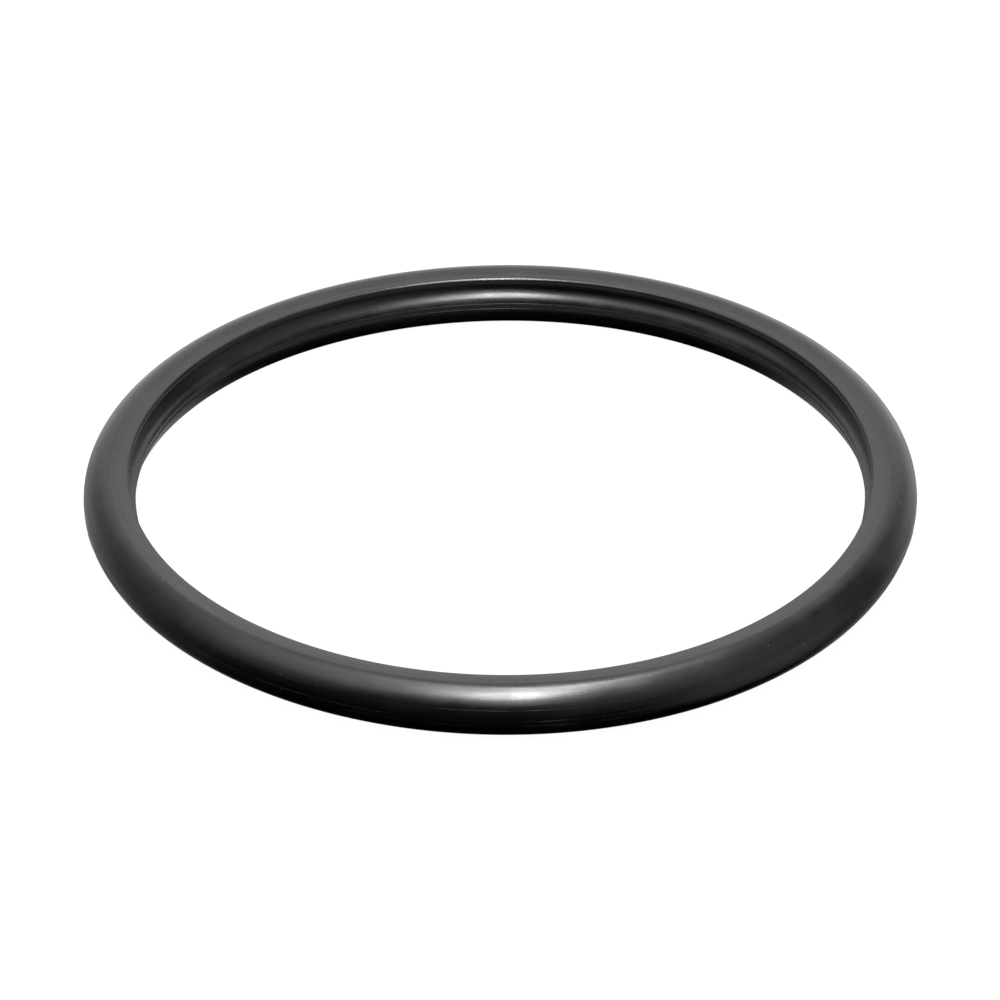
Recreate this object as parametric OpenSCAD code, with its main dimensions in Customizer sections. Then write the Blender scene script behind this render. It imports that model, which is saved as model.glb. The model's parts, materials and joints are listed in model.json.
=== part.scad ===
// Sealing ring of a stovetop pressure cooker.
// One moulded rubber ring. Its section is half round towards the outside and scooped
// out towards the centre, so that a short upper lip stands over a wider lower lip.
// The ring lies flat: +Z is its axis, and the origin is the centre of its underside.

/* [Ring] */
// Outside diameter at the upright land
outer_d = 240; // [160:1:320]
// Radial width of the section, from the land to the edge of the lower lip
section_w = 15; // [13:0.5:20]
// Height of the section between the underside and the top
section_h = 16; // [14:0.1:20]
// Height of the upright land round the widest part of the outer wall
land_h = 1.6; // [1:0.1:3]

/* [Lower lip] */
// Height of the edge of the lower lip above the underside
lower_lip_h = 8.3; // [6.9:0.1:9.5]
// How far the inner face would stand back from that edge at the underside
foot_setback = 3; // [2:0.1:4]
// Radius of the bow of the inner face
face_bow_r = 20; // [14:1:40]
// Rounding between the inner face and the underside
foot_r = 3; // [2:0.1:4]
// Rounding of the edge of the lower lip
lower_lip_edge_r = 0.2; // [0.1:0.1:0.8]

/* [Upper lip] */
// How far the tip of the upper lip stands back from the edge of the lower lip
upper_lip_setback = 1.9; // [1.5:0.1:3]
// Thickness of the upper lip at its tip
upper_lip_t = 1.9; // [1.4:0.1:2.4]
// Width of the flat seat on the top
lid_seat_w = 1.6; // [1:0.1:2.4]
// Radius of the rounded top between the flat seat and the tip
lip_top_r = 12; // [8:1:30]
// Rounding of both edges of the tip
tip_edge_r = 0.5; // [0.2:0.05:0.65]

/* [Groove] */
// Radius of the scooped floor and back of the groove
groove_r = 5; // [4:0.1:6]
// Depth of the groove, outward from the edge of the lower lip
groove_depth = 4.8; // [4:0.1:5.8]
// Fillet between the back of the groove and the upper lip
roof_fillet_r = 0.8; // [0.4:0.1:1.2]

/* [Hidden] */
$fn = 180;
eps = 0.01;
rubber = [0.05, 0.05, 0.053];

outer_r = outer_d / 2;
hole_r = outer_r - section_w;
lip_r = hole_r + upper_lip_setback;

// The outer wall is a half round that runs from the top to the underside. The upright
// land cuts its widest point.
crown_r = section_h / 2;
crown_c = [outer_r - sqrt(pow(crown_r, 2) - pow(land_h / 2, 2)), crown_r];

// The top is flat next to the crown, then rounds down to the tip of the upper lip.
seat_in = crown_c.x - lid_seat_w;
lip_top_c = [seat_in, section_h - lip_top_r];
tip_z = lip_top_c.y + sqrt(pow(lip_top_r, 2) - pow(seat_in - lip_r, 2));
roof_z = tip_z - upper_lip_t;

// The bowed inner face runs from the edge of the lower lip to the underside.
lip_edge = [hole_r, lower_lip_h];
face_foot = [hole_r + foot_setback, 0];
face_c = arc_centre(face_foot, lip_edge, face_bow_r);

// The groove is scooped out from the edge of the lower lip, and levels out under the
// upper lip.
groove_in = groove_r - groove_depth;
groove_c = [hole_r - groove_in, lower_lip_h + sqrt(pow(groove_r, 2) - pow(groove_in, 2))];
fillet_z = roof_z - roof_fillet_r;
fillet_reach = sqrt(pow(groove_r - roof_fillet_r, 2) - pow(fillet_z - groove_c.y, 2));
fillet_c = [groove_c.x + fillet_reach, fillet_z];

// Centres of the roundings.
lip_round_c = circles_meet(
    face_c, face_bow_r - lower_lip_edge_r,
    groove_c, groove_r + lower_lip_edge_r
);
foot_reach = sqrt(pow(face_bow_r - foot_r, 2) - pow(foot_r - face_c.y, 2));
foot_round_c = [face_c.x - foot_reach, foot_r];
tip_x = lip_r + tip_edge_r;
tip_top_c = [tip_x, lip_top_c.y + sqrt(pow(lip_top_r - tip_edge_r, 2) - pow(seat_in - tip_x, 2))];
tip_low_c = [tip_x, roof_z + tip_edge_r];

// A vector turned a quarter turn anticlockwise.
function quarter_turn(v) = [-v.y, v.x];

// Centre of the arc of radius r through a and b, on the right of the way from a to b.
function arc_centre(a, b, r) =
    (a + b) / 2 - quarter_turn(b - a) / norm(b - a) * sqrt(pow(r, 2) - pow(norm(b - a) / 2, 2));

// Where the circles about a and b meet, on the left of the way from a to b.
function circles_meet(a, ra, b, rb) =
    let (
        d = norm(b - a),
        along = (pow(d, 2) + pow(ra, 2) - pow(rb, 2)) / (2 * d)
    )
    a + (b - a) / d * along + quarter_turn(b - a) / d * sqrt(pow(ra, 2) - pow(along, 2));

// The point at distance r from c, on the line from c through p.
function reach(c, p, r) = c + (p - c) / norm(p - c) * r;

module disc(c, r) {
    translate(c) circle(r = r);
}

// A rectangle between two opposite corners.
module block(low, high) {
    translate(low) square(high - low);
}

// The half round with its upright land.
module outer_wall() {
    intersection() {
        disc(crown_c, crown_r);
        block([crown_c.x, -crown_r], [outer_r, section_h + crown_r]);
    }
}

// The upper lip with square edges.
module upper_lip() {
    intersection() {
        disc(lip_top_c, lip_top_r);
        block([lip_r, roof_z], [seat_in, section_h + lip_top_r]);
    }
}

// Everything under the upper lip, from the flat seat to the bowed inner face.
module lower_body() {
    intersection() {
        disc(face_c, face_bow_r);
        block([hole_r - section_w, 0], [seat_in, roof_z]);
    }
}

// The groove's circle, cut level under the upper lip and filleted into it.
module groove() {
    on_back = reach(groove_c, fillet_c, groove_r);
    difference() {
        disc(groove_c, groove_r);
        block([groove_c.x - groove_r, roof_z], groove_c + [groove_r, groove_r + eps]);
        polygon([
            fillet_c,
            on_back,
            [on_back.x + roof_fillet_r, roof_z + eps],
            [fillet_c.x, roof_z + eps]
        ]);
    }
    disc(fillet_c, roof_fillet_r);
}

// What the four roundings take off.
module sharp_corners() {
    lip_on_face = reach(face_c, lip_round_c, face_bow_r);
    lip_on_floor = reach(groove_c, lip_round_c, groove_r);
    foot_on_face = reach(face_c, foot_round_c, face_bow_r);
    tip_on_top = reach(lip_top_c, tip_top_c, lip_top_r);
    polygon([
        lip_round_c,
        lip_on_face,
        lip_edge - [lower_lip_edge_r, 0],
        lip_edge + [0, lower_lip_edge_r],
        lip_on_floor
    ]);
    polygon([foot_round_c, foot_on_face, [foot_on_face.x - eps, -eps], [foot_round_c.x, -eps]]);
    polygon([tip_top_c, tip_on_top, [lip_r - eps, tip_z + eps], [lip_r - eps, tip_top_c.y]]);
    polygon([tip_low_c, [lip_r - eps, tip_low_c.y], [lip_r - eps, roof_z - eps], [tip_x, roof_z - eps]]);
}

module section() {
    difference() {
        union() {
            outer_wall();
            block([seat_in, 0], [crown_c.x, section_h]);
            upper_lip();
            lower_body();
        }
        groove();
        sharp_corners();
    }
    disc(lip_round_c, lower_lip_edge_r);
    disc(foot_round_c, foot_r);
    disc(tip_top_c, tip_edge_r);
    disc(tip_low_c, tip_edge_r);
}

module sealing_ring() {
    color(rubber) rotate_extrude() section();
}

sealing_ring();
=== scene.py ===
"""Pressure cooker sealing ring: one moulded rubber ring on a pale studio floor.

Lengths are in metres in the row frame. The section of the ring is worked out in
millimetres from the mounts in the record, then swept round the axis.
"""
import json
import math
from collections import namedtuple

import bpy
from mathutils import Matrix, Quaternion, Vector


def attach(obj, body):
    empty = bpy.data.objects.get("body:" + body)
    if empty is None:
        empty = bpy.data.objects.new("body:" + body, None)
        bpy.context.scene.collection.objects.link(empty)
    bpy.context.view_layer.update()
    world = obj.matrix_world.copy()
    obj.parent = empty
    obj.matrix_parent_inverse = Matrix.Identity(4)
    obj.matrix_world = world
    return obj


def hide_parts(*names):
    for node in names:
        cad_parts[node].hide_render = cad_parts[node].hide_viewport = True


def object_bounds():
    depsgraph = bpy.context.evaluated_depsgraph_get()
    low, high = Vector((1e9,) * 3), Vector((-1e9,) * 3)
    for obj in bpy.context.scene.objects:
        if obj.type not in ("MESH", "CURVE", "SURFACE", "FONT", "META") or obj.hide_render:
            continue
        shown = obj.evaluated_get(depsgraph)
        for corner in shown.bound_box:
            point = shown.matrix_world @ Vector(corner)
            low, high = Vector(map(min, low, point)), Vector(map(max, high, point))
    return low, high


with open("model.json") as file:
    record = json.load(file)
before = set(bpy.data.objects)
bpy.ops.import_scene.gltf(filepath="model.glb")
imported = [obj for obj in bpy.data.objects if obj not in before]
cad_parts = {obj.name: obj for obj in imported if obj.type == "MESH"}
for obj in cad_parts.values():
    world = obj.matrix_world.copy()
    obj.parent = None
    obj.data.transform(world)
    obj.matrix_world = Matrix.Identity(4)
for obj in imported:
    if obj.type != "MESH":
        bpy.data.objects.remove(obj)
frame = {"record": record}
cad_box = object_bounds()

MM = 0.001
NODE = "sealing_ring"
SLOT = "black_rubber"
mounts = {m["name"]: m for m in frame["record"]["mounts"]}

# ---- sizes of the section, in millimetres ----------------------------------------------
OUTER_R = mounts["channel_fit"]["dims"]["r_mm"]
LAND_H = mounts["channel_fit"]["dims"]["length_mm"]
SECTION_H = mounts["lid_seat"]["pos_m"][2] / MM
SECTION_W = 15.0
LOWER_LIP_H = 8.3
FOOT_SETBACK = 3.0
FACE_BOW_R = 20.0
FOOT_R = 3.0
LOWER_LIP_EDGE_R = 0.06
UPPER_LIP_SETBACK = 1.9
UPPER_LIP_T = 1.9
LID_SEAT_W = 1.6
LIP_TOP_R = 12.0
TIP_EDGE_R = 0.85
GROOVE_R = 5.0
GROOVE_DEPTH = 4.8
ROOF_FILLET_R = 0.8

HOLE_R = OUTER_R - SECTION_W
LIP_R = HOLE_R + UPPER_LIP_SETBACK

# ---- what the mould and the handling leave on the ring, in millimetres -----------------
# Parting lines: radius and height of a point nearby, height and half width of the line, and
# the share of its height that is there all round.
PartingLine = namedtuple("PartingLine", "radius z height half_width steady")
PARTING_LINES = [
    PartingLine(119.5, 11.2, 0.04, 0.08, 0.0),
    PartingLine(120.0, 7.9, 0.10, 0.07, 0.35),
    PartingLine(119.8, 6.3, 0.12, 0.07, 0.0),
    PartingLine(105.6, 6.5, 0.19, 0.11, 0.8),
]
# Three-lobed sag of the free ring.
SAG_COS = -0.51
SAG_SIN = 0.22

# Steps of the sweep round the axis, and spacing and reach of the close points beside a
# parting line.
SEGMENTS = 480
FINE_STEP = 0.04
FINE_MARGIN = 0.4


# ---- plane geometry -------------------------------------------------------------------
def point(r, z):
    return Vector((r, z))


def turned(v):
    return Vector((-v.y, v.x))


def arc_centre(a, b, radius):
    """Centre of the arc through a and b, on the right of the way from a to b."""
    half = (b - a).length / 2
    return (a + b) / 2 - turned(b - a).normalized() * math.sqrt(radius**2 - half**2)


def circles_meet(a, ra, b, rb):
    """Where two circles meet, on the left of the way from a to b."""
    d = (b - a).length
    along = (d * d + ra * ra - rb * rb) / (2 * d)
    return a + (b - a) / d * along + turned(b - a) / d * math.sqrt(ra * ra - along * along)


def reach(centre, through, radius):
    return centre + (through - centre).normalized() * radius


def arc(centre, start, end, step=0.12, clockwise=False):
    """Points from start to end round centre, about one every step millimetres."""
    radius = (start - centre).length
    a0 = math.atan2(start.y - centre.y, start.x - centre.x)
    a1 = math.atan2(end.y - centre.y, end.x - centre.x)
    sweep = (a1 - a0) % math.tau
    if clockwise:
        sweep -= math.tau
    n = max(4, round(abs(sweep) * radius / step))
    return [centre + point(math.cos(a0 + sweep * k / n), math.sin(a0 + sweep * k / n)) * radius
            for k in range(n + 1)]


def line(start, end, step=0.25):
    n = max(1, round((end - start).length / step))
    return [start.lerp(end, k / n) for k in range(n + 1)]


def section():
    """The closed outline, anticlockwise from the inner end of the underside."""
    crown_r = SECTION_H / 2
    crown_c = point(OUTER_R - math.sqrt(crown_r**2 - (LAND_H / 2) ** 2), crown_r)
    seat_in = crown_c.x - LID_SEAT_W
    lip_top_c = point(seat_in, SECTION_H - LIP_TOP_R)
    tip_z = lip_top_c.y + math.sqrt(LIP_TOP_R**2 - (seat_in - LIP_R) ** 2)
    roof_z = tip_z - UPPER_LIP_T

    lip_edge = point(HOLE_R, LOWER_LIP_H)
    face_c = arc_centre(point(HOLE_R + FOOT_SETBACK, 0), lip_edge, FACE_BOW_R)
    groove_in = GROOVE_R - GROOVE_DEPTH
    groove_c = point(HOLE_R - groove_in, LOWER_LIP_H + math.sqrt(GROOVE_R**2 - groove_in**2))
    fillet_z = roof_z - ROOF_FILLET_R
    fillet_reach = math.sqrt((GROOVE_R - ROOF_FILLET_R) ** 2 - (fillet_z - groove_c.y) ** 2)
    fillet_c = point(groove_c.x + fillet_reach, fillet_z)

    lip_c = circles_meet(
        face_c, FACE_BOW_R - LOWER_LIP_EDGE_R,
        groove_c, GROOVE_R + LOWER_LIP_EDGE_R,
    )
    foot_reach = math.sqrt((FACE_BOW_R - FOOT_R) ** 2 - (FOOT_R - face_c.y) ** 2)
    foot_c = point(face_c.x - foot_reach, FOOT_R)
    tip_x = LIP_R + TIP_EDGE_R
    tip_rise = math.sqrt((LIP_TOP_R - TIP_EDGE_R) ** 2 - (seat_in - tip_x) ** 2)
    tip_top_c = point(tip_x, lip_top_c.y + tip_rise)
    tip_low_c = point(tip_x, roof_z + TIP_EDGE_R)

    half_land = point(0, LAND_H / 2)
    land_low = point(OUTER_R, crown_r) - half_land
    land_high = point(OUTER_R, crown_r) + half_land
    top = point(crown_c.x, SECTION_H)
    seat_end = point(seat_in, SECTION_H)
    tip_on_top = reach(lip_top_c, tip_top_c, LIP_TOP_R)
    fillet_on_back = reach(groove_c, fillet_c, GROOVE_R)
    lip_on_floor = reach(groove_c, lip_c, GROOVE_R)
    lip_on_face = reach(face_c, lip_c, FACE_BOW_R)
    foot_on_face = reach(face_c, foot_c, FACE_BOW_R)

    outline = line(point(foot_c.x, 0), point(crown_c.x, 0))
    outline += arc(crown_c, point(crown_c.x, 0), land_low)
    outline += line(land_low, land_high)
    outline += arc(crown_c, land_high, top)
    outline += line(top, seat_end)
    outline += arc(lip_top_c, seat_end, tip_on_top)
    outline += arc(tip_top_c, tip_on_top, point(LIP_R, tip_top_c.y), 0.06)
    outline += line(point(LIP_R, tip_top_c.y), point(LIP_R, tip_low_c.y), 0.2)
    outline += arc(tip_low_c, point(LIP_R, tip_low_c.y), point(tip_x, roof_z), 0.06)
    outline += line(point(tip_x, roof_z), point(fillet_c.x, roof_z))
    outline += arc(fillet_c, point(fillet_c.x, roof_z), fillet_on_back, 0.1, True)
    outline += arc(groove_c, fillet_on_back, lip_on_floor, 0.15, True)
    outline += arc(lip_c, lip_on_floor, lip_on_face, 0.02)
    outline += arc(face_c, lip_on_face, foot_on_face)
    outline += arc(foot_c, foot_on_face, point(foot_c.x, 0))

    return [p for i, p in enumerate(outline) if (p - outline[i - 1]).length > 1e-4]


def refined(outline):
    """The outline with close points beside each parting line."""
    fine = []
    for i, p in enumerate(outline):
        q = outline[(i + 1) % len(outline)]
        near = any((p - point(m.radius, m.z)).length < 4 * m.half_width + FINE_MARGIN
                   for m in PARTING_LINES)
        fine += line(p, q, FINE_STEP)[:-1] if near else [p]
    return fine


def parting_line_lifts(outline):
    """For each parting line: the outline points it lifts, and by how much."""
    lifts = []
    for m in PARTING_LINES:
        centre = min(outline, key=lambda p: (p - point(m.radius, m.z)).length)
        lifts.append([(i, m.height * math.exp(-(((p - centre).length / m.half_width) ** 2)))
                      for i, p in enumerate(outline) if (p - centre).length < 3 * m.half_width])
    return lifts


def patchy(turn, seed):
    """A smooth value from 0 to 1 that changes round the ring, for lines that come and go."""
    waves = ((5, 0.30), (13, 0.25), (29, 0.25), (61, 0.20), (127, 0.15))
    total = sum(share * math.sin(count * turn + seed * count * 1.7 + seed)
                for count, share in waves)
    return min(1.0, max(0.0, 0.5 + total))


def sweep(name, outline):
    """Sweeps a closed outline round Z into a smooth mesh, with the parting lines lifted."""
    n = len(outline)
    normals = [-turned(outline[(i + 1) % n] - outline[i - 1]).normalized() for i in range(n)]
    lifts = parting_line_lifts(outline)
    verts, faces = [], []
    for k in range(SEGMENTS):
        a = math.tau * k / SEGMENTS
        shift = SAG_COS * math.cos(3 * a) + SAG_SIN * math.sin(3 * a)
        ring_points = list(outline)
        for seed, (m, lift) in enumerate(zip(PARTING_LINES, lifts), start=1):
            strength = m.steady + (1 - m.steady) * patchy(a, seed)
            for i, height in lift:
                ring_points[i] = outline[i] + normals[i] * (height * strength)
        for p in ring_points:
            r = (p.x + shift) * MM
            verts.append((r * math.cos(a), r * math.sin(a), p.y * MM))
    for k in range(SEGMENTS):
        here, there = k * n, (k + 1) % SEGMENTS * n
        for i in range(n):
            j = (i + 1) % n
            faces.append((here + i, there + i, there + j, here + j))
    mesh = bpy.data.meshes.new(name)
    mesh.from_pydata(verts, [], faces)
    mesh.shade_smooth()
    obj = bpy.data.objects.new(name, mesh)
    bpy.context.collection.objects.link(obj)
    return obj


# ---- materials -------------------------------------------------------------------------
# Bump heights in micrometres.
GRAIN_UM = 11.0
DRAG_UM = 16.0
BANDS_UM = 8.0
SWELL_UM = 16.0
# Sizes of the patterns in millimetres: across the ring for the drag lines and the bands.
GRAIN_MM = 0.36
DRAG_MM = 0.42
BANDS_MM = 1.5
SWELL_MM = 9
PATCHES_MM = 16
SPECKS_MM = 2.6
ROUGHNESS = 0.27
RUBBER_COLOUR = (0.003, 0.003, 0.0032, 1)
DUST_COLOUR = (0.16, 0.155, 0.15, 1)


class Graph:
    """Short calls for building a node tree."""

    def __init__(self, tree):
        self.nodes, self.links = tree.nodes, tree.links

    def node(self, kind, **settings):
        made = self.nodes.new(kind)
        for key, value in settings.items():
            setattr(made, key, value)
        return made

    def feed(self, socket, value):
        if isinstance(value, bpy.types.NodeSocket):
            self.links.new(value, socket)
        else:
            socket.default_value = value

    def maths(self, operation, *values):
        made = self.node("ShaderNodeMath", operation=operation)
        for socket, value in zip(made.inputs, values):
            self.feed(socket, value)
        return made.outputs[0]

    def vector(self, operation, *values, output=0):
        made = self.node("ShaderNodeVectorMath", operation=operation)
        for socket, value in zip(made.inputs, values):
            self.feed(socket, value)
        return made.outputs[output]

    def noise(self, position, scale, detail=2.0, roughness=0.5, w=None):
        made = self.node("ShaderNodeTexNoise", noise_dimensions="3D" if w is None else "4D")
        self.feed(made.inputs["Vector"], position)
        made.inputs["Scale"].default_value = scale
        made.inputs["Detail"].default_value = detail
        made.inputs["Roughness"].default_value = roughness
        if w is not None:
            self.feed(made.inputs["W"], w)
        return made.outputs[0]

    def ramp(self, value, low, high, to_low=0.0, to_high=1.0):
        made = self.node("ShaderNodeMapRange", interpolation_type="SMOOTHSTEP")
        settings = {"From Min": low, "From Max": high, "To Min": to_low, "To Max": to_high}
        for name, setting in settings.items():
            made.inputs[name].default_value = setting
        self.feed(made.inputs["Value"], value)
        return made.outputs[0]


def rubber():
    """Near-black rubber: fine grain, drag lines round the ring, patchy sheen, a little dust."""
    mat = bpy.data.materials.new(SLOT)
    mat.use_nodes = True
    g = Graph(mat.node_tree)
    shader = g.nodes["Principled BSDF"]
    position = g.node("ShaderNodeTexCoord").outputs["Object"]

    # Position round the ring on a unit circle, with the height and the radius beside it, so
    # that the drag lines run round the ring without a seam.
    level = g.vector("MULTIPLY", position, (1, 1, 0))
    radius = g.vector("LENGTH", level, output="Value")
    around = g.vector("NORMALIZE", level)
    height = g.node("ShaderNodeSeparateXYZ")
    g.feed(height.inputs[0], position)
    height = height.outputs["Z"]

    def streaks(count, pitch_mm, detail):
        """Noise drawn out round the ring: count along the unit circle, pitch across it."""
        across = g.node("ShaderNodeCombineXYZ")
        g.feed(across.inputs["Z"], g.maths("DIVIDE", height, pitch_mm * MM))
        drawn_out = g.vector("MULTIPLY_ADD", around, (count, count, 0), across.outputs[0])
        return g.noise(drawn_out, 1.0, detail, w=g.maths("DIVIDE", radius, pitch_mm * MM))

    drag = streaks(14, DRAG_MM, 2)
    bands = streaks(5, BANDS_MM, 1)
    grain = g.noise(position, 1 / (GRAIN_MM * MM), 2)
    swell = g.noise(position, 1 / (SWELL_MM * MM), 1)
    patches = g.noise(position, 1 / (PATCHES_MM * MM), 3, 0.6)

    height_um = g.maths("MULTIPLY", drag, DRAG_UM)
    for pattern, depth_um in ((grain, GRAIN_UM), (bands, BANDS_UM), (swell, SWELL_UM)):
        height_um = g.maths("ADD", height_um, g.maths("MULTIPLY", pattern, depth_um))
    bump = g.node("ShaderNodeBump")
    bump.inputs["Strength"].default_value = 1
    bump.inputs["Distance"].default_value = MM / 1000
    g.feed(bump.inputs["Height"], height_um)
    g.feed(shader.inputs["Normal"], bump.outputs[0])

    wear = g.ramp(patches, 0.35, 0.7, ROUGHNESS - 0.02, ROUGHNESS + 0.05)
    wear = g.maths("ADD", wear, g.ramp(bands, 0.3, 0.75, -0.02, 0.03))
    g.feed(shader.inputs["Roughness"], wear)

    # Dust: sparse pale specks, and a faint bloom that follows the patches.
    specks = g.node("ShaderNodeTexVoronoi", feature="F1")
    specks.inputs["Scale"].default_value = 1 / (SPECKS_MM * MM)
    g.feed(specks.inputs["Vector"], position)
    chosen = g.node("ShaderNodeSeparateColor")
    g.feed(chosen.inputs[0], specks.outputs["Color"])
    dot = g.ramp(specks.outputs["Distance"], 0.10, 0.05)
    speck = g.maths("MULTIPLY", dot, g.ramp(chosen.outputs[0], 0.80, 0.82))
    bloom = g.ramp(patches, 0.45, 0.8, 0.0, 0.03)
    dust = g.maths("MAXIMUM", g.maths("MULTIPLY", speck, 0.5), bloom)
    tint = g.node("ShaderNodeMix", data_type="RGBA")
    g.feed(tint.inputs["Factor"], dust)
    tint.inputs["A"].default_value = RUBBER_COLOUR
    tint.inputs["B"].default_value = DUST_COLOUR
    g.feed(shader.inputs["Base Color"], tint.outputs["Result"])
    shader.inputs["IOR"].default_value = 1.5
    return mat


def glowing_white(name, strength):
    mat = bpy.data.materials.new(name)
    mat.use_nodes = True
    shader = mat.node_tree.nodes["Principled BSDF"]
    shader.inputs["Base Color"].default_value = (0.05, 0.05, 0.05, 1)
    shader.inputs["Roughness"].default_value = 0.9
    shader.inputs["Specular IOR Level"].default_value = 0
    shader.inputs["Emission Color"].default_value = (1, 1, 1, 1)
    shader.inputs["Emission Strength"].default_value = strength
    return mat


# ---- the ring --------------------------------------------------------------------------
ring = sweep("ring_moulding", refined(section()))
ring.data.materials.append(rubber())
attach(ring, "root")
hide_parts(NODE)


# ---- floor and backdrop ----------------------------------------------------------------
def stage_piece(obj, name):
    """A pale surface that only the camera sees: it doesn't light the ring or mirror in it."""
    obj.name = name
    obj.data.materials.append(glowing_white("pale_" + name, 0.98))
    obj.visible_glossy = False
    obj.visible_diffuse = False
    obj.visible_shadow = False


bpy.ops.mesh.primitive_plane_add(size=24, location=(0, 0, cad_box[0].z - 0.0001))
stage_piece(bpy.context.object, "floor")
bpy.ops.mesh.primitive_uv_sphere_add(segments=96, ring_count=48, radius=11)
stage_piece(bpy.context.object, "backdrop")


# ---- light -----------------------------------------------------------------------------
def softbox(name, position, along, width, length, radiance):
    """A rectangular light facing the ring, its length along a direction. The camera is at -Y."""
    facing = Vector(position).normalized()
    side = Vector(along).cross(facing).normalized()
    light = bpy.data.lights.new(name, "AREA")
    light.shape = "RECTANGLE"
    light.size = width
    light.size_y = length
    light.energy = radiance * math.pi * width * length
    lamp = bpy.data.objects.new(name, light)
    turn = Matrix((side, facing.cross(side), facing)).transposed().to_4x4()
    lamp.matrix_world = Matrix.Translation(position) @ turn
    lamp.visible_camera = False
    bpy.context.collection.objects.link(lamp)


# The long overhead box, in panels from front to back: x, y, width, radiance.
OVERHEAD_Z = 1.6
PANEL_LENGTH = 0.35
OVERHEAD_PANELS = [
    (0.020, -0.95, 0.29, 22),
    (0.020, -0.60, 0.29, 51),
    (0.055, -0.25, 0.32, 36),
    (0.100, 0.10, 0.30, 20),
    (0.110, 0.45, 0.30, 22),
]
for number, (x, y, width, radiance) in enumerate(OVERHEAD_PANELS):
    softbox("overhead_%d" % number, (x, y, OVERHEAD_Z), (0, 1, 0), width, PANEL_LENGTH, radiance)
softbox("overhead_front", (0.07, -1.35, 1.3), (0, 1, 0), 0.4, 0.5, 3.9)
softbox("back_card", (0, 0.36, 0.295), (1, 0, 0), 0.07, 0.26, 1.3)

# A dim glowing disc lies inside the ring, a painted stand-in for light bounced off the floor there.
# Only the ring sees it.
bpy.ops.mesh.primitive_circle_add(
    vertices=96, radius=0.102, fill_type="NGON", location=(0, 0, 0.0002))
bounce_glow = bpy.context.object
bounce_glow.name = "bounce_glow"
# Its glow is painted light: the ring shows it as a reflection of a lit floor.
bounce_glow.data.materials.append(glowing_white("bounce_glow_white", 0.2))
bounce_glow.visible_camera = False
bounce_glow.visible_shadow = False

# Soft light from all round, in lobes: azimuth from -Y, elevation, level. Each is full up to
# one angle from its middle and gone at another, in degrees.
LOBE_FULL = 8
LOBE_GONE = 38
LOBES = [
    (180, -20, 0.35),
    (180, 10, 0.74),
    (180, 40, 0.44),
    (180, 70, 0.97),
    (150, 10, 0.56),
    (150, -20, 0.48),
    (-150, 10, 0.36),
    (-150, 40, 0.19),
    (-150, -20, 0.42),
    (-115, 10, 0.22),
    (-115, -20, 0.15),
    (115, 10, 0.15),
    (-90, 70, 1.49),
    (90, 70, 0.27),
    (0, 70, 0.79),
    (-75, 40, 0.61),
    (75, 40, 0.46),
    (75, 10, 0.23),
    (75, -20, 0.57),
    (35, 40, 0.32),
    (35, 10, 0.17),
]


def world_light(world):
    world.use_nodes = True
    g = Graph(world.node_tree)
    g.nodes.clear()
    direction = g.node("ShaderNodeTexCoord").outputs["Generated"]
    gone, full = math.cos(math.radians(LOBE_GONE)), math.cos(math.radians(LOBE_FULL))
    total = 0.0
    for azimuth, elevation, level in LOBES:
        a, e = math.radians(azimuth), math.radians(elevation)
        middle = (math.sin(a) * math.cos(e), -math.cos(a) * math.cos(e), math.sin(e))
        nearness = g.vector("DOT_PRODUCT", direction, middle, output="Value")
        total = g.maths("ADD", total, g.ramp(nearness, gone, full, 0.0, level))
    background = g.node("ShaderNodeBackground")
    g.feed(background.inputs["Strength"], total)
    output = g.node("ShaderNodeOutputWorld")
    g.feed(output.inputs[0], background.outputs[0])


world = bpy.data.worlds.new("studio")
bpy.context.scene.world = world
world_light(world)

# ---- camera ----------------------------------------------------------------------------
# Angles are in degrees. The camera looks at a point this far right of and above the centre
# of the underside, in the picture's plane.
CAMERA_ELEVATION = 32.2
CAMERA_ROLL = -0.2
CAMERA_DISTANCE = 4.16
LENS = 519.3
AIM_RIGHT = -0.6 * MM
AIM_UP = 5.1 * MM

tilt = math.radians(CAMERA_ELEVATION)
towards_camera = Vector((0, -math.cos(tilt), math.sin(tilt)))
picture_up = Vector((0, math.sin(tilt), math.cos(tilt)))
camera_data = bpy.data.cameras.new("camera")
camera_data.lens = LENS
camera_data.sensor_width = 36
camera_data.clip_start = 0.1
camera_data.clip_end = 60
camera = bpy.data.objects.new("camera", camera_data)
camera.location = Vector((AIM_RIGHT, 0, 0)) + picture_up * AIM_UP + towards_camera * CAMERA_DISTANCE
camera.rotation_mode = "QUATERNION"
level_view = towards_camera.to_track_quat("Z", "Y")
camera.rotation_quaternion = level_view @ Quaternion((0, 0, 1), math.radians(CAMERA_ROLL))
bpy.context.collection.objects.link(camera)
bpy.context.scene.camera = camera

bpy.context.scene.view_settings.view_transform = "Standard"
bpy.context.scene.view_settings.look = "None"
